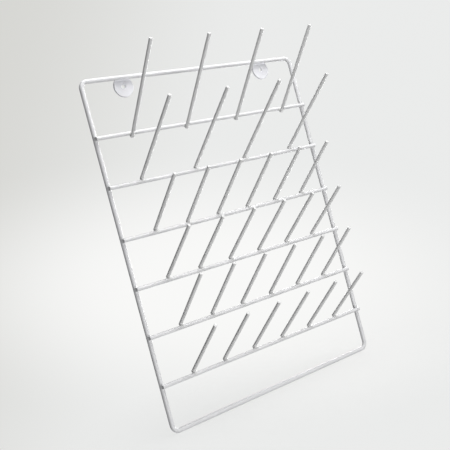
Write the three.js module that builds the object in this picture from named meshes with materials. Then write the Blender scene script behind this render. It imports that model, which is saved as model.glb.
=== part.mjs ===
// Draining rack for laboratory and darkroom ware: a bent outer frame, cross wires and rows of
// sloping pegs, all of steel wire under a white coating, hung on a wall by two round tabs.
// Millimetres, +Z up. X runs along the rows, +Y points at the wall. The origin is on the wall
// plane, midway across the rack, at the height of the screw holes in the tabs.

import * as THREE from 'three';

// Wire diameters over the coating
const FRAME_WIRE = 6.4;
const CROSS_WIRE = 5.6;
const PEG_WIRE = 5.0;
const END_ROUNDING = 0.8;
const WELD_GAP = 0.3;

// Outer frame, measured between the centre lines of its wire
const FRAME_WIDTH = 380;
const FRAME_HEIGHT = 494;
const CORNER_RADIUS = 10;

// Cross wires: how far they pass the frame's centre line at each side
const CROSS_OVERHANG = 1.5;

// Pegs: the outermost ones stand at the same place in every row
const PEG_SPAN = 275.5;
const LONG_PEG = 152;
const SHORT_PEG = 110;
const TAIL_IN_FRONT = 2.6;
const TAIL_BEHIND = 0.8;

// Steps between cross wires: from the frame's top wire down to the first, between the rows of
// long pegs, from long to short pegs, and between the rows of short pegs
const FIRST_STEP = 81;
const LONG_ROW_STEP = 69.5;
const CHANGE_STEP = 73.5;
const SHORT_ROW_STEP = 68.4;

// Rows from the top down: step to the cross wire above, number of pegs, peg length, slope above
// the horizontal in degrees, and the side of the wire they lie on. The slopes differ a little
// from row to row, as on a hand-welded rack.
const ROWS = [
  { step: FIRST_STEP, pegs: 4, length: LONG_PEG, slope: 42, inFront: true },
  { step: LONG_ROW_STEP, pegs: 4, length: LONG_PEG, slope: 33.5, inFront: false },
  { step: CHANGE_STEP, pegs: 6, length: SHORT_PEG, slope: 35, inFront: false },
  { step: SHORT_ROW_STEP, pegs: 6, length: SHORT_PEG, slope: 34, inFront: false },
  { step: SHORT_ROW_STEP, pegs: 6, length: SHORT_PEG, slope: 36.5, inFront: false },
  { step: SHORT_ROW_STEP, pegs: 6, length: SHORT_PEG, slope: 35.5, inFront: false },
];

// Hanging tabs: coated discs behind the top wire
const TAB_DIAMETER = 31;
const TAB_THICKNESS = 2.6;
const TAB_EDGE_ROUNDING = 0.7;
const TAB_DROP = 12;
const TAB_PLACES = { left: -123, right: 129 };
const SCREW_HOLE = 5.5;
const COUNTERSINK = 9;
const COUNTERSINK_DEPTH = 1.2;

// Facets
const WIRE_SIDES = 16;
const CORNER_STEPS = 8;
const TAB_SIDES = 40;
const ROUNDING_STEPS = 1;

// Places that follow from the sizes above
const TOP_WIRE_Z = TAB_DROP;
const FRAME_Y = -(TAB_THICKNESS + WELD_GAP + FRAME_WIRE / 2);
const CROSS_Y = FRAME_Y - (FRAME_WIRE + CROSS_WIRE) / 2 - WELD_GAP;

const rack = new THREE.Group();

// Height of a row's cross wire: the steps down to it add up
function crossWireZ(index) {
  return ROWS.slice(0, index + 1).reduce((height, row) => height - row.step, TOP_WIRE_Z);
}

function addPiece(name, geometry) {
  const coating = new THREE.MeshStandardMaterial({
    color: 0xf1f1f4,
    roughness: 0.28,
    metalness: 0,
  });
  const piece = new THREE.Mesh(geometry, coating);
  piece.name = name;
  rack.add(piece);
  return piece;
}

// A closed curve through given points, with one step from each point to the next
class PointLoop extends THREE.Curve {
  constructor(points) {
    super();
    this.points = points;
    this.steps = points.length - 1;
  }

  getPoint(t, target = new THREE.Vector3()) {
    const place = t * this.steps;
    const index = Math.min(Math.floor(place), this.steps - 1);
    return target.lerpVectors(this.points[index], this.points[index + 1], place - index);
  }

  getUtoTmapping(u) {
    return u;
  }
}

// Points of a quarter circle from angle start, in a lathe profile
function quarterArc(x, y, radius, start) {
  const points = [];
  for (let i = 0; i <= ROUNDING_STEPS; i++) {
    const angle = start + (i / ROUNDING_STEPS) * (Math.PI / 2);
    points.push(new THREE.Vector2(x + radius * Math.cos(angle), y + radius * Math.sin(angle)));
  }
  return points;
}

// A straight coated wire along +Y from the origin, square cut with softened ends
function wireGeometry(diameter, length) {
  const radius = diameter / 2;
  const inner = radius - END_ROUNDING;
  const profile = [
    new THREE.Vector2(0, 0),
    ...quarterArc(inner, END_ROUNDING, END_ROUNDING, -Math.PI / 2),
    ...quarterArc(inner, length - END_ROUNDING, END_ROUNDING, 0),
    new THREE.Vector2(0, length),
  ];
  return new THREE.LatheGeometry(profile, WIRE_SIDES);
}

// One wire bent to a rectangle with rounded corners, its ends butt-welded
function addOuterFrame() {
  const x = FRAME_WIDTH / 2 - CORNER_RADIUS;
  const top = TOP_WIRE_Z - CORNER_RADIUS;
  const bottom = TOP_WIRE_Z - FRAME_HEIGHT + CORNER_RADIUS;
  const quarter = Math.PI / 2;
  const outline = new THREE.Path();
  outline.moveTo(0, bottom - CORNER_RADIUS);
  outline.absarc(x, bottom, CORNER_RADIUS, -quarter, 0);
  outline.absarc(x, top, CORNER_RADIUS, 0, quarter);
  outline.absarc(-x, top, CORNER_RADIUS, quarter, 2 * quarter);
  outline.absarc(-x, bottom, CORNER_RADIUS, 2 * quarter, 3 * quarter);
  outline.lineTo(0, bottom - CORNER_RADIUS);
  const points = outline.getPoints(CORNER_STEPS / 2).map((p) => new THREE.Vector3(p.x, FRAME_Y, p.y));
  const loop = new PointLoop(points);
  addPiece('outer_frame', new THREE.TubeGeometry(loop, loop.steps, FRAME_WIRE / 2, WIRE_SIDES, true));
}

function addCrossWire(index) {
  const length = FRAME_WIDTH + 2 * CROSS_OVERHANG;
  const wire = addPiece(`cross_wire_${index + 1}`, wireGeometry(CROSS_WIRE, length));
  wire.rotation.z = -Math.PI / 2;
  wire.position.set(-length / 2, CROSS_Y, crossWireZ(index));
}

// The pegs of one row: straight wires that slope up and away from the wall
function addPegs(row, index) {
  const kind = row.length === LONG_PEG ? 'long_peg' : 'short_peg';
  const slope = THREE.MathUtils.degToRad(row.slope);
  const along = new THREE.Vector3(0, -Math.cos(slope), Math.sin(slope));
  const across = new THREE.Vector3(0, Math.sin(slope), Math.cos(slope));
  const offset = ((CROSS_WIRE + PEG_WIRE) / 2 + WELD_GAP) * (row.inFront ? -1 : 1);
  const tail = row.inFront ? TAIL_IN_FRONT : TAIL_BEHIND;
  const pitch = PEG_SPAN / (row.pegs - 1);
  for (let i = 0; i < row.pegs; i++) {
    const peg = addPiece(`${kind}_r${index + 1}_c${i + 1}`, wireGeometry(PEG_WIRE, row.length));
    peg.rotation.x = Math.PI - slope;
    peg.position.set(-PEG_SPAN / 2 + i * pitch, CROSS_Y, crossWireZ(index));
    peg.position.addScaledVector(across, offset);
    peg.position.addScaledVector(along, -tail);
  }
}

// A round tab with a countersunk screw hole, its back on the wall plane
function addHangingTab(side, x) {
  const radius = TAB_DIAMETER / 2;
  const inner = radius - TAB_EDGE_ROUNDING;
  const hole = SCREW_HOLE / 2;
  const front = -TAB_THICKNESS;
  const profile = [
    new THREE.Vector2(hole, 0),
    new THREE.Vector2(hole, front + COUNTERSINK_DEPTH),
    new THREE.Vector2(COUNTERSINK / 2, front),
    ...quarterArc(inner, front + TAB_EDGE_ROUNDING, TAB_EDGE_ROUNDING, -Math.PI / 2),
    new THREE.Vector2(radius, 0),
    new THREE.Vector2(hole, 0),
  ];
  const tab = addPiece(`${side}_hanging_tab`, new THREE.LatheGeometry(profile, TAB_SIDES));
  tab.position.x = x;
}

addOuterFrame();
ROWS.forEach((row, index) => addCrossWire(index));
ROWS.forEach(addPegs);
addHangingTab('left', TAB_PLACES.left);
addHangingTab('right', TAB_PLACES.right);

export default rack;
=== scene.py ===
"""Looks of the wall-hung wire draining rack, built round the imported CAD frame. Metres, +Z up.

Every visible piece is a fine mesh of a CAD wire or tab: its place, direction and size are read
from the CAD node that it stands for. Weld fillets join the wires where the CAD leaves a gap."""

import math

import bpy
import numpy as np
from mathutils import Matrix, Vector, noise


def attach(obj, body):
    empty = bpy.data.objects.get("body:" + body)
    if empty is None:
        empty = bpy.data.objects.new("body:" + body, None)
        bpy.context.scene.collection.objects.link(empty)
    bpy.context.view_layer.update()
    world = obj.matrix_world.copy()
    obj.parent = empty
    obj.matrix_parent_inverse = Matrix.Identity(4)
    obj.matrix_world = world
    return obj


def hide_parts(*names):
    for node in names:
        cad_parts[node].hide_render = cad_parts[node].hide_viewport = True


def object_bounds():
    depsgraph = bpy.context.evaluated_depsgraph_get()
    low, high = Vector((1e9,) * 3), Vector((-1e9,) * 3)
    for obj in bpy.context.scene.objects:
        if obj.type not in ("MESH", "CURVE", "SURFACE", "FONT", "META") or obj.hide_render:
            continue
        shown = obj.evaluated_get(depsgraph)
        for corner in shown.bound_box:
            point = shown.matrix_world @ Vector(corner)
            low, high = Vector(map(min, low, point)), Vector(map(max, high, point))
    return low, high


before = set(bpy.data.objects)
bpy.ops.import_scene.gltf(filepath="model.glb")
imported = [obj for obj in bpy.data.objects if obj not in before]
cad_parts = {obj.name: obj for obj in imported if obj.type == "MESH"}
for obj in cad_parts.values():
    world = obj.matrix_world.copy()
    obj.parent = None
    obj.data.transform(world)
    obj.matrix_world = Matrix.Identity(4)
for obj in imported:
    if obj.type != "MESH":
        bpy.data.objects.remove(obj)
cad_low, cad_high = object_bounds()

MM = 0.001
ROWS = 6
LONG_PEG_ROWS = (1, 2)

# ---------------------------------------------------------------- sizes of the coating's detail

WIRE_SIDES = 32
RING_SPACING = 4 * MM
END_ROUNDING = 0.9 * MM
END_STEPS = 5
CORNER_RINGS = 14
# The coating's slow waves: height, scale, and how each wire's seed shifts the pattern
WAVE_HEIGHT = 0.012 * MM
WAVE_SCALE = 1 / (14 * MM)
WAVE_SHIFT = (1, 3.7, -1.3)
FRAME_SEED = 11
CROSS_WIRE_SEED = 20
PEG_SEED = 40
PEG_SEEDS_PER_ROW = 7

# Weld fillets: mesh step, softness, reach from the crossing, and how they sink away beyond it
WELD_STEP = 0.42 * MM
WELD_BLEND = 3.2 * MM
WELD_REACH = 4.6 * MM
WELD_TAPER = 2.5 * MM
WELD_SINK = 1.0 * MM
WELD_MARGIN = 2.3 * WELD_TAPER
WELD_SWELL = 0.10 * MM
# Welds between tab and top wire, kept off the tab's back
TAB_WELD_BLEND = 2.2 * MM
TAB_WELD_SINK = 0.4 * MM
TAB_WELD_SKIN = 0.1 * MM
TAB_WELD_DROP = 1.5 * MM
TAB_WELD_SPREAD = 0.3

TAB_SIDES = 96
TAB_EDGE = 0.7 * MM
TAB_BACK_EDGE = 0.4 * MM
TAB_RIM_STEPS = 6
TAB_SUPPORT = 0.15 * MM
TAB_BEVEL = 0.1 * MM
TAB_BACK_BEVEL = 0.3 * MM
TAB_SINK = 1.0 * MM
TAB_LIP_HEIGHT = 0.15 * MM
TAB_LIP_WIDTH = 1.6 * MM
TAB_LIP_STEPS = 8


# ---------------------------------------------------------------- reading the CAD

# Cross wires are read towards +X, and pegs away from the wall
ROD_HEADING = (1.0, -0.5, 0.0)
FLAT_TOLERANCE = 0.01 * MM


def cad_points(node):
    return np.array([v.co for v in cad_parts[node].data.vertices], float)


def rod(node):
    """(first end, last end, radius) of a straight CAD wire. It runs to +X, or away from the wall."""
    points = cad_points(node)
    middle = (points.min(0) + points.max(0)) / 2
    axis = np.linalg.svd(points - points.mean(0), full_matrices=False)[2][0]
    axis *= np.sign(axis @ ROD_HEADING)
    along = (points - middle) @ axis
    radius = np.linalg.norm(points - middle - np.outer(along, axis), axis=1).max()
    return middle + along.min() * axis, middle + along.max() * axis, radius


def loop_sizes(node):
    """(centre, half width, half height, corner radius, wire radius) of the frame's centre line."""
    points = cad_points(node)
    low, high = points.min(0), points.max(0)
    wire = (high[1] - low[1]) / 2
    lowest = points[points[:, 2] < low[2] + FLAT_TOLERANCE]
    half = (high - low) / 2 - wire
    corner = half[0] - np.abs(lowest[:, 0] - (low[0] + high[0]) / 2).max()
    return (low + high) / 2, half[0], half[2], corner, wire


# ---------------------------------------------------------------- mesh building

# A direction that no wire of the rack runs in, to turn a wire's section from
SKEW_AXIS = (0.31, 0.11, 0.94)


def add_piece(name, vertices, faces, material, replaced=()):
    mesh = bpy.data.meshes.new(name)
    mesh.from_pydata([tuple(v) for v in vertices], [], faces)
    mesh.validate()
    mesh.shade_smooth()
    mesh.materials.append(material)
    piece = bpy.data.objects.new(name, mesh)
    bpy.context.scene.collection.objects.link(piece)
    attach(piece, "root")
    if replaced:
        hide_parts(*replaced)
    return piece


def coat_wave(point, seed):
    """How far the coating stands off its mean thickness at a point."""
    place = Vector(point) * WAVE_SCALE + Vector([seed * share for share in WAVE_SHIFT])
    return WAVE_HEIGHT * noise.noise(place)


def ring_faces(rings, sides, closed):
    faces = []
    for i in range(rings if closed else rings - 1):
        first, second = i * sides, ((i + 1) % rings) * sides
        for j in range(sides):
            k = (j + 1) % sides
            faces.append((first + j, first + k, second + k, second + j))
    return faces


def ring(centre, across, beside, radius, seed):
    points = []
    for j in range(WIRE_SIDES):
        angle = 2 * math.pi * j / WIRE_SIDES
        out = math.cos(angle) * across + math.sin(angle) * beside
        surface = centre + radius * out
        points.append(surface + coat_wave(surface, seed) * out)
    return points


def straight_wire(start, end, radius, seed):
    """Vertices and faces of a coated wire with softly rounded, square cut ends."""
    length = np.linalg.norm(end - start)
    axis = (end - start) / length
    across = np.cross(axis, SKEW_AXIS)
    across /= np.linalg.norm(across)
    beside = np.cross(axis, across)
    turns = [math.pi / 2 * i / END_STEPS for i in range(END_STEPS + 1)]
    near = [
        (END_ROUNDING * (1 - math.cos(t)), radius - END_ROUNDING * (1 - math.sin(t))) for t in turns
    ]
    count = max(2, round((length - 2 * END_ROUNDING) / RING_SPACING))
    middle = [
        (END_ROUNDING + (length - 2 * END_ROUNDING) * i / count, radius) for i in range(1, count)
    ]
    far = [(length - s, r) for s, r in reversed(near)]
    stations = near + middle + far
    vertices = []
    for place, size in stations:
        vertices += ring(start + place * axis, across, beside, size, seed)
    faces = ring_faces(len(stations), WIRE_SIDES, closed=False)
    last = (len(stations) - 1) * WIRE_SIDES
    vertices += [start, end]
    for j in range(WIRE_SIDES):
        k = (j + 1) % WIRE_SIDES
        faces.append((len(vertices) - 2, k, j))
        faces.append((len(vertices) - 1, last + j, last + k))
    return vertices, faces


def loop_stations(half_width, half_height, corner):
    """Points (x, z) and directions along a rectangle with rounded corners, from the bottom middle."""
    sides = [
        ((0, -half_height), (1, 0), half_width - corner),
        ((half_width, -half_height + corner), (0, 1), 2 * (half_height - corner)),
        ((half_width - corner, half_height), (-1, 0), 2 * (half_width - corner)),
        ((-half_width, half_height - corner), (0, -1), 2 * (half_height - corner)),
        ((-half_width + corner, -half_height), (1, 0), half_width - corner),
    ]
    stations = []
    for index, (start, heading, length) in enumerate(sides):
        start, heading = np.array(start, float), np.array(heading, float)
        count = round(length / RING_SPACING)
        for i in range(count):
            stations.append((start + heading * length * i / count, heading))
        if index == len(sides) - 1:
            break
        inward = np.array((-heading[1], heading[0]))
        pivot = start + heading * length + inward * corner
        for i in range(CORNER_RINGS):
            turn = math.pi / 2 * i / CORNER_RINGS
            place = pivot + corner * (math.sin(turn) * heading - math.cos(turn) * inward)
            stations.append((place, math.cos(turn) * heading + math.sin(turn) * inward))
    return stations


# ---------------------------------------------------------------- isosurface for welds

def isosurface(field, low, high, step):
    """Vertices and quads of the surface where field is zero, negative inside: surface nets."""
    counts = np.ceil((high - low) / step).astype(int) + 1
    axes = [low[a] + step * np.arange(counts[a]) for a in range(3)]
    grid = np.stack(np.meshgrid(*axes, indexing="ij"), -1)
    values = field(grid)
    corners = [(i, j, k) for i in (0, 1) for j in (0, 1) for k in (0, 1)]
    cells = counts - 1

    def corner_values(c):
        return values[c[0]:c[0] + cells[0], c[1]:c[1] + cells[1], c[2]:c[2] + cells[2]]

    total = np.zeros((*cells, 3))
    hits = np.zeros(tuple(cells))
    for a in corners:
        for axis in range(3):
            if a[axis]:
                continue
            b = tuple(v + (n == axis) for n, v in enumerate(a))
            va, vb = corner_values(a), corner_values(b)
            crossing = (va < 0) != (vb < 0)
            share = np.where(crossing, va / np.where(crossing, va - vb, 1), 0)
            offset = np.array(a, float) + share[..., None] * np.eye(3)[axis]
            total += offset * crossing[..., None]
            hits += crossing
    index = -np.ones(tuple(cells), int)
    active = hits > 0
    index[active] = np.arange(active.sum())
    places = np.argwhere(active) + total[active] / hits[active][:, None]
    vertices = low + step * places

    faces = []
    for axis in range(3):
        u, v = (axis + 1) % 3, (axis + 2) % 3
        here = [slice(1, cells[n]) for n in range(3)]
        here[axis] = slice(0, cells[axis])
        there = list(here)
        there[axis] = slice(1, cells[axis] + 1)
        inside, beyond = values[tuple(here)] < 0, values[tuple(there)] < 0
        for cell in np.argwhere(inside != beyond):
            base = cell + [0 if n == axis else 1 for n in range(3)]
            square = []
            for du, dv in ((1, 1), (0, 1), (0, 0), (1, 0)):
                spot = base.copy()
                spot[u] -= du
                spot[v] -= dv
                square.append(int(index[tuple(spot)]))
            if not inside[tuple(cell)]:
                square.reverse()
            faces.append(tuple(square))
    return vertices, faces


def wire_distance(points, start, end, radius):
    """Signed distance to a wire with square ends."""
    length = np.linalg.norm(end - start)
    axis = (end - start) / length
    along = (points - start) @ axis
    aside = np.linalg.norm(points - start - along[..., None] * axis, axis=-1) - radius
    past = np.maximum(-along, along - length)
    outside = np.hypot(np.maximum(aside, 0), np.maximum(past, 0))
    return outside + np.minimum(np.maximum(aside, past), 0)


def wire_field(start, end, radius):
    """The distance to one wire, as a function of the points."""
    return lambda points: wire_distance(points, start, end, radius)


def disc_distance(points, centre, radius, half_thickness):
    """Signed distance to a flat disc whose axis is Y."""
    offset = points - centre
    aside = np.hypot(offset[..., 0], offset[..., 2]) - radius
    past = np.abs(offset[..., 1]) - half_thickness
    outside = np.hypot(np.maximum(aside, 0), np.maximum(past, 0))
    return outside + np.minimum(np.maximum(aside, past), 0)


def smooth_union(first, second, blend):
    share = np.clip(0.5 + 0.5 * (second - first) / blend, 0, 1)
    return second * (1 - share) + first * share - blend * share * (1 - share)


def weld_surface(first, second, heart, reach, blend=WELD_BLEND):
    """The fillet between two distance fields, which sinks below both away from heart."""
    def field(points):
        away = np.linalg.norm(points - heart, axis=-1)
        sink = (np.maximum(away - reach, 0) / WELD_TAPER) ** 2 * WELD_SINK
        return smooth_union(first(points), second(points), blend) - WELD_SWELL + sink

    extent = reach + WELD_MARGIN
    return isosurface(field, heart - extent, heart + extent, WELD_STEP)


def nearest_on_lines(a0, a1, b0, b1):
    """The point midway between two straight lines where they come closest."""
    da, db, gap = a1 - a0, b1 - b0, b0 - a0
    m = np.array([[da @ da, -(da @ db)], [da @ db, -(db @ db)]])
    s, t = np.linalg.solve(m, (gap @ da, gap @ db))
    return (a0 + s * da + b0 + t * db) / 2


def merged(parts):
    vertices, faces = [], []
    for part_vertices, part_faces in parts:
        base = len(vertices)
        vertices += [tuple(v) for v in part_vertices]
        faces += [tuple(base + i for i in f) for f in part_faces]
    return vertices, faces


# ---------------------------------------------------------------- materials

COATING_IOR = 1.5
COAT_WEIGHT, COAT_ROUGHNESS = 0.25, 0.22
# Noise patterns: scale per metre and detail
TONE_NOISE = (55, 3)
ROUGHNESS_NOISE = (180, 2)
WAVE_NOISE = (60, 1)
PEEL_NOISE = (700, 1)
TONE_RANGE = (0.35, 0.65)
ROUGHNESS_SPREAD = (-0.05, 0.07)
# Bumps: strength and depth
WAVE_BUMP = (0.05, 0.25 * MM)
PEEL_BUMP = (0.03, 0.06 * MM)


def coating_material(name, colour, shade_colour, roughness):
    """Thick glossy dip coating: slow waves, a fine orange peel and faint tone changes."""
    material = bpy.data.materials.new(name)
    material.use_nodes = True
    nodes, links = material.node_tree.nodes, material.node_tree.links
    shader = nodes["Principled BSDF"]
    shader.inputs["IOR"].default_value = COATING_IOR
    shader.inputs["Coat Weight"].default_value = COAT_WEIGHT
    shader.inputs["Coat Roughness"].default_value = COAT_ROUGHNESS
    coordinates = nodes.new("ShaderNodeTexCoord")

    def noise_pattern(scale, detail):
        node = nodes.new("ShaderNodeTexNoise")
        node.inputs["Scale"].default_value = scale
        node.inputs["Detail"].default_value = detail
        links.new(coordinates.outputs["Object"], node.inputs["Vector"])
        return node.outputs["Fac"]

    def bump(pattern, strength, depth):
        node = nodes.new("ShaderNodeBump")
        node.inputs["Strength"].default_value = strength
        node.inputs["Distance"].default_value = depth
        links.new(pattern, node.inputs["Height"])
        return node

    tone_range = nodes.new("ShaderNodeMapRange")
    tone_range.inputs["From Min"].default_value = TONE_RANGE[0]
    tone_range.inputs["From Max"].default_value = TONE_RANGE[1]
    links.new(noise_pattern(*TONE_NOISE), tone_range.inputs["Value"])
    mix = nodes.new("ShaderNodeMix")
    mix.data_type = "RGBA"
    mix.inputs["A"].default_value = (*colour, 1)
    mix.inputs["B"].default_value = (*shade_colour, 1)
    links.new(tone_range.outputs["Result"], mix.inputs["Factor"])
    links.new(mix.outputs["Result"], shader.inputs["Base Color"])

    rough_range = nodes.new("ShaderNodeMapRange")
    rough_range.inputs["To Min"].default_value = roughness + ROUGHNESS_SPREAD[0]
    rough_range.inputs["To Max"].default_value = roughness + ROUGHNESS_SPREAD[1]
    links.new(noise_pattern(*ROUGHNESS_NOISE), rough_range.inputs["Value"])
    links.new(rough_range.outputs["Result"], shader.inputs["Roughness"])

    waves = bump(noise_pattern(*WAVE_NOISE), *WAVE_BUMP)
    peel = bump(noise_pattern(*PEEL_NOISE), *PEEL_BUMP)
    links.new(waves.outputs["Normal"], peel.inputs["Normal"])
    links.new(peel.outputs["Normal"], shader.inputs["Normal"])
    return material


# Name, colour, slightly darker colour of its faint patches, and roughness
wire_coating = coating_material("wire_coating", (0.86, 0.86, 0.87), (0.83, 0.83, 0.84), 0.38)
peg_coating = coating_material("peg_coating", (0.84, 0.84, 0.835), (0.81, 0.81, 0.805), 0.40)
tab_coating = coating_material("tab_coating", (0.93, 0.93, 0.96), (0.91, 0.91, 0.95), 0.40)


# ---------------------------------------------------------------- the rack's pieces

def make_outer_frame():
    centre, half_width, half_height, corner, radius = loop_sizes("outer_frame")
    outward = np.array((0.0, -1.0, 0.0))
    vertices = []
    stations = loop_stations(half_width, half_height, corner)
    for place, heading in stations:
        point = centre + np.array((place[0], 0, place[1]))
        beside = np.cross(np.array((heading[0], 0, heading[1])), outward)
        vertices += ring(point, outward, beside, radius, FRAME_SEED)
    faces = ring_faces(len(stations), WIRE_SIDES, closed=True)
    add_piece("frame_coat", vertices, faces, wire_coating, ["outer_frame"])


def make_cross_wires():
    for row in range(1, ROWS + 1):
        node = f"cross_wire_{row}"
        vertices, faces = straight_wire(*rod(node), CROSS_WIRE_SEED + row)
        add_piece(f"cross_wire_coat_{row}", vertices, faces, wire_coating, [node])


def peg_nodes(row):
    kind = "long_peg" if row in LONG_PEG_ROWS else "short_peg"
    return sorted(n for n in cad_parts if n.startswith(f"{kind}_r{row}_"))


def make_pegs():
    for row in range(1, ROWS + 1):
        for number, node in enumerate(peg_nodes(row), 1):
            seed = PEG_SEED + PEG_SEEDS_PER_ROW * row + number
            vertices, faces = straight_wire(*rod(node), seed)
            name = f"peg_coat_r{row}_c{number}"
            add_piece(name, vertices, faces, peg_coating, [node])


def tab_profile(radius, hole, front, back):
    """Radii and depths round a tab's section: hole, sunk mouth, rolled lip, flat face, rim, back."""
    sunk = front + TAB_SINK
    mouth = hole + TAB_SINK + TAB_BEVEL
    section = [
        (hole, back - TAB_BACK_BEVEL),
        (hole, sunk + TAB_BEVEL),
        (hole, sunk),
        (hole + TAB_BEVEL, sunk - TAB_BEVEL),
        (mouth - TAB_BEVEL, front + TAB_BEVEL),
    ]
    for i in range(TAB_LIP_STEPS + 1):
        turn = math.pi * i / TAB_LIP_STEPS
        out = mouth + TAB_LIP_WIDTH / 2 * (1 - math.cos(turn))
        section.append((out, front - TAB_LIP_HEIGHT * math.sin(turn)))
    section += [(out + TAB_SUPPORT, front), (radius - TAB_EDGE - TAB_SUPPORT, front)]
    for i in range(TAB_RIM_STEPS + 1):
        turn = math.pi / 2 * i / TAB_RIM_STEPS
        out = radius - TAB_EDGE * (1 - math.sin(turn))
        section.append((out, front + TAB_EDGE * (1 - math.cos(turn))))
    for i in range(TAB_RIM_STEPS + 1):
        turn = math.pi / 2 * i / TAB_RIM_STEPS
        out = radius - TAB_BACK_EDGE * (1 - math.cos(turn))
        section.append((out, back - TAB_BACK_EDGE * (1 - math.sin(turn))))
    section += [
        (radius - TAB_BACK_EDGE - TAB_SUPPORT, back),
        (hole + TAB_BACK_BEVEL + TAB_BEVEL, back),
        (hole + TAB_BACK_BEVEL, back),
    ]
    return section


def make_tab(side):
    """A coated disc: rounded rim, countersunk hole with a lip of pooled coating round it.

    Gives its centre, radius and half its thickness."""
    node = f"{side}_hanging_tab"
    points = cad_points(node)
    low, high = points.min(0), points.max(0)
    centre = (low + high) / 2
    radius = (high[0] - low[0]) / 2
    hole = np.hypot(points[:, 0] - centre[0], points[:, 2] - centre[2]).min()
    front, back = low[1], high[1]
    profile = tab_profile(radius, hole, front, back)
    vertices = []
    for j in range(TAB_SIDES):
        angle = 2 * math.pi * j / TAB_SIDES
        for out, depth in profile:
            x = centre[0] + out * math.cos(angle)
            z = centre[2] + out * math.sin(angle)
            vertices.append((x, depth, z))
    count = len(profile)
    faces = []
    for j in range(TAB_SIDES):
        here, there = j * count, ((j + 1) % TAB_SIDES) * count
        for i in range(count):
            k = (i + 1) % count
            faces.append((here + i, here + k, there + k, there + i))
    add_piece(f"{side}_tab_coat", vertices, faces, tab_coating, [node])
    return centre, radius, (back - front) / 2


def make_welds(tabs):
    """Fillets where pegs and frame meet the cross wires, and where the tabs meet the top wire."""
    frame_centre, half_width, half_height, _, frame_radius = loop_sizes("outer_frame")
    for row in range(1, ROWS + 1):
        wire_start, wire_end, wire_radius = rod(f"cross_wire_{row}")
        cross = wire_field(wire_start, wire_end, wire_radius)
        parts = []
        for node in peg_nodes(row):
            start, end, radius = rod(node)
            heart = nearest_on_lines(wire_start, wire_end, start, end)
            parts.append(weld_surface(cross, wire_field(start, end, radius), heart, WELD_REACH))
        vertices, faces = merged(parts)
        add_piece(f"peg_welds_row_{row}", vertices, faces, peg_coating)

        parts = []
        for side in (-1, 1):
            x = frame_centre[0] + side * half_width
            low = np.array((x, frame_centre[1], frame_centre[2] - half_height))
            high = np.array((x, frame_centre[1], frame_centre[2] + half_height))
            heart = nearest_on_lines(wire_start, wire_end, low, high)
            parts.append(weld_surface(cross, wire_field(low, high, frame_radius), heart, WELD_REACH))
        vertices, faces = merged(parts)
        add_piece(f"frame_welds_row_{row}", vertices, faces, wire_coating)

    top = frame_centre[2] + half_height
    left = np.array((frame_centre[0] - half_width, frame_centre[1], top))
    right = np.array((frame_centre[0] + half_width, frame_centre[1], top))
    for name, (centre, radius, half_thickness) in tabs.items():
        for end, side in (("a", -1), ("b", 1)):
            x = centre[0] + side * TAB_WELD_SPREAD * radius
            heart = np.array((x, (centre[1] + left[1]) / 2, top - TAB_WELD_DROP))
            core = centre - np.array((0.0, TAB_WELD_SINK, 0.0))
            half_core = half_thickness - TAB_WELD_SINK - TAB_WELD_SKIN
            vertices, faces = weld_surface(
                wire_field(left, right, frame_radius),
                lambda points: disc_distance(points, core, radius, half_core),
                heart, WELD_REACH, TAB_WELD_BLEND,
            )
            add_piece(f"{name}_tab_weld_{end}", vertices, faces, tab_coating)


make_outer_frame()
make_cross_wires()
make_pegs()
make_welds({side: make_tab(side) for side in ("left", "right")})


# ---------------------------------------------------------------- camera

CAMERA_PLACE = Vector((-0.64208, -0.91134, -0.22530))
CAMERA_AZIMUTH = math.radians(-34.528)
CAMERA_ELEVATION = math.radians(0.089)
CAMERA_ROLL = math.radians(-15.040)
CAMERA_LENS, CAMERA_SENSOR = 58.87, 36

camera_turn = (
    Matrix.Rotation(CAMERA_AZIMUTH, 4, "Z")
    @ Matrix.Rotation(math.pi / 2 - CAMERA_ELEVATION, 4, "X")
    @ Matrix.Rotation(CAMERA_ROLL, 4, "Z")
)
camera_data = bpy.data.cameras.new("camera")
camera_data.lens = CAMERA_LENS
camera_data.sensor_width = CAMERA_SENSOR
camera = bpy.data.objects.new("camera", camera_data)
bpy.context.scene.collection.objects.link(camera)
camera.matrix_world = Matrix.Translation(CAMERA_PLACE) @ camera_turn
bpy.context.scene.camera = camera


# ---------------------------------------------------------------- floor, background and lights

# The floor: a disc just under the rack that fades out between two distances
FLOOR_SIDES = 96
FLOOR_GAP = 0.2 * MM
FLOOR_ROUGHNESS, FLOOR_SPECULAR = 0.9, 0.1
FLOOR_RADIUS = 0.36
FLOOR_FADE = (0.10, 0.34)
FLOOR_STRENGTH = 0.22
FLOOR_COLOUR = (0.94, 0.94, 0.93, 1)
# The sweep behind the rack, as the camera sees it, carries painted shade from a darker left to a
# painted lighter right, and a painted pool of light in the middle
SWEEP_START, SWEEP_SPAN = -0.378, 0.353
SWEEP_TILT = math.radians(-16.9)
# Painted shade on the sweep's left and painted light on its right
SWEEP_PAINTED_SHADE_LEFT = (0.677, 0.677, 0.652)
SWEEP_PAINTED_LIGHT_RIGHT = (0.828, 0.836, 0.830)
# The painted pool of light: its colour, middle, spread and edge
PAINTED_GLOW_COLOUR = (0.941, 0.941, 0.931)
PAINTED_GLOW_HEART = (-0.01, -0.08, -1)
PAINTED_GLOW_SPREAD = (0.446, 0.195, 2)
PAINTED_GLOW_EDGE = 0.81
# Lights: name, direction from the rack's middle, distance, size and power
LIGHTS = [
    ("overhead", (0.1, -0.2, 1.0), 1.0, 0.7, 9),
    ("top_right", (0.5, -0.5, 0.7), 2.4, 1.3, 19),
    ("right_back", (0.75, 0.65, 0.1), 2.4, 1.3, 33),
    ("low_front", (-0.1, -0.8, -0.5), 2.4, 1.3, 33),
]
AMBIENT_COLOUR = (0.97, 0.98, 1.0, 1)
AMBIENT_STRENGTH = 0.13


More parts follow.
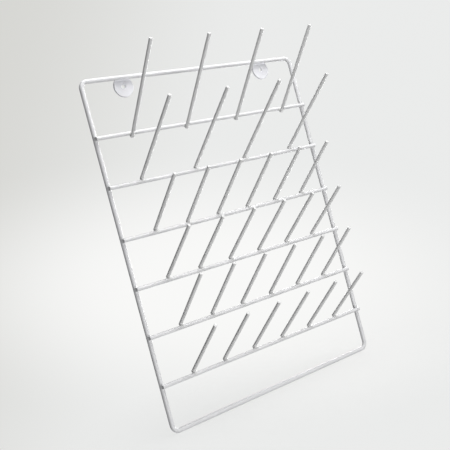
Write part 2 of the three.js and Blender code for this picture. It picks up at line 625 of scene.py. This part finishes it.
def make_floor():
    z = cad_low[2] - FLOOR_GAP
    vertices = [(0, 0, z)]
    for j in range(FLOOR_SIDES):
        angle = 2 * math.pi * j / FLOOR_SIDES
        vertices.append((FLOOR_RADIUS * math.cos(angle), FLOOR_RADIUS * math.sin(angle), z))
    faces = [(0, j + 1, (j + 1) % FLOOR_SIDES + 1) for j in range(FLOOR_SIDES)]
    mesh = bpy.data.meshes.new("floor")
    mesh.from_pydata(vertices, [], faces)
    floor = bpy.data.objects.new("floor", mesh)
    bpy.context.scene.collection.objects.link(floor)

    material = bpy.data.materials.new("floor")
    material.use_nodes = True
    nodes, links = material.node_tree.nodes, material.node_tree.links
    shader = nodes["Principled BSDF"]
    shader.inputs["Base Color"].default_value = FLOOR_COLOUR
    shader.inputs["Roughness"].default_value = FLOOR_ROUGHNESS
    shader.inputs["Specular IOR Level"].default_value = FLOOR_SPECULAR
    place = nodes.new("ShaderNodeNewGeometry")
    flat = nodes.new("ShaderNodeVectorMath")
    flat.operation = "MULTIPLY"
    flat.inputs[1].default_value = (1, 1, 0)
    links.new(place.outputs["Position"], flat.inputs[0])
    reach = nodes.new("ShaderNodeVectorMath")
    reach.operation = "LENGTH"
    links.new(flat.outputs["Vector"], reach.inputs[0])
    solid = nodes.new("ShaderNodeMapRange")
    solid.interpolation_type = "SMOOTHSTEP"
    solid.inputs["From Min"].default_value, solid.inputs["From Max"].default_value = FLOOR_FADE
    solid.inputs["To Min"].default_value = FLOOR_STRENGTH
    solid.inputs["To Max"].default_value = 0
    links.new(reach.outputs["Value"], solid.inputs["Value"])
    links.new(solid.outputs["Result"], shader.inputs["Alpha"])
    mesh.materials.append(material)


def make_world():
    """A pale sweep behind the rack, with painted shade from its darker left to its lighter right and
    a painted pool of light in the middle, seen only by the camera. It lights the rack less than it
    shows.
    """
    world = bpy.data.worlds.new("world")
    bpy.context.scene.world = world
    world.use_nodes = True
    nodes, links = world.node_tree.nodes, world.node_tree.links
    coordinates = nodes.new("ShaderNodeTexCoord")

    def gradient(kind, heart, spread, tilt=0.0):
        """A gradient fixed in the room, laid out along the main view's own axes: X is right, Y is
        up and -Z is ahead."""
        turned = nodes.new("ShaderNodeMapping")
        turned.vector_type = "POINT"
        turned.inputs["Rotation"].default_value = camera_turn.to_3x3().inverted().to_euler()
        links.new(coordinates.outputs["Generated"], turned.inputs["Vector"])
        placed = nodes.new("ShaderNodeMapping")
        placed.vector_type = "TEXTURE"
        placed.inputs["Location"].default_value = heart
        placed.inputs["Rotation"].default_value = (0, 0, tilt)
        placed.inputs["Scale"].default_value = spread
        links.new(turned.outputs["Vector"], placed.inputs["Vector"])
        texture = nodes.new("ShaderNodeTexGradient")
        texture.gradient_type = kind
        links.new(placed.outputs["Vector"], texture.inputs["Vector"])
        return texture.outputs["Fac"]

    def mixed(factor, first, second):
        mix = nodes.new("ShaderNodeMix")
        mix.data_type = "RGBA"
        links.new(factor, mix.inputs["Factor"])
        for socket, value in (("A", first), ("B", second)):
            if isinstance(value, tuple):
                mix.inputs[socket].default_value = (*value, 1)
            else:
                links.new(value, mix.inputs[socket])
        return mix.outputs["Result"]

    # Painted shade and light across the sweep: darker on the left, lighter on the right, seen only by
    # the camera
    start = (SWEEP_START * math.cos(SWEEP_TILT), SWEEP_START * math.sin(SWEEP_TILT), 0)
    sweep = gradient("EASING", start, (SWEEP_SPAN, 1, 1), SWEEP_TILT)
    across = mixed(sweep, SWEEP_PAINTED_SHADE_LEFT, SWEEP_PAINTED_LIGHT_RIGHT)
    # A painted pool of light in the sweep's middle, shown to the camera only
    painted_glow_rise = nodes.new("ShaderNodeMapRange")
    painted_glow_rise.interpolation_type = "SMOOTHSTEP"
    painted_glow_rise.inputs["From Max"].default_value = PAINTED_GLOW_EDGE
    links.new(gradient("SPHERICAL", PAINTED_GLOW_HEART, PAINTED_GLOW_SPREAD), painted_glow_rise.inputs["Value"])
    seen = nodes["Background"]
    links.new(mixed(painted_glow_rise.outputs["Result"], across, PAINTED_GLOW_COLOUR), seen.inputs["Color"])
    lighting = nodes.new("ShaderNodeBackground")
    lighting.inputs["Color"].default_value = AMBIENT_COLOUR
    lighting.inputs["Strength"].default_value = AMBIENT_STRENGTH
    path = nodes.new("ShaderNodeLightPath")
    choice = nodes.new("ShaderNodeMixShader")
    links.new(path.outputs["Is Camera Ray"], choice.inputs["Fac"])
    links.new(lighting.outputs["Background"], choice.inputs[1])
    links.new(seen.outputs["Background"], choice.inputs[2])
    links.new(choice.outputs["Shader"], nodes["World Output"].inputs["Surface"])


def area_light(name, direction, distance, size, power):
    """A square soft light that looks at the rack's middle from a direction."""
    data = bpy.data.lights.new(name, "AREA")
    data.shape = "SQUARE"
    data.size = size
    data.energy = power
    light = bpy.data.objects.new(name, data)
    bpy.context.scene.collection.objects.link(light)
    light.visible_camera = False
    target = (cad_low + cad_high) / 2
    back = Vector(direction).normalized()
    light.location = target + back * distance
    light.rotation_mode = "QUATERNION"
    light.rotation_quaternion = (-back).to_track_quat("-Z", "Y")


make_floor()
make_world()
for light in LIGHTS:
    area_light(*light)
bpy.context.scene.view_settings.view_transform = "Standard"
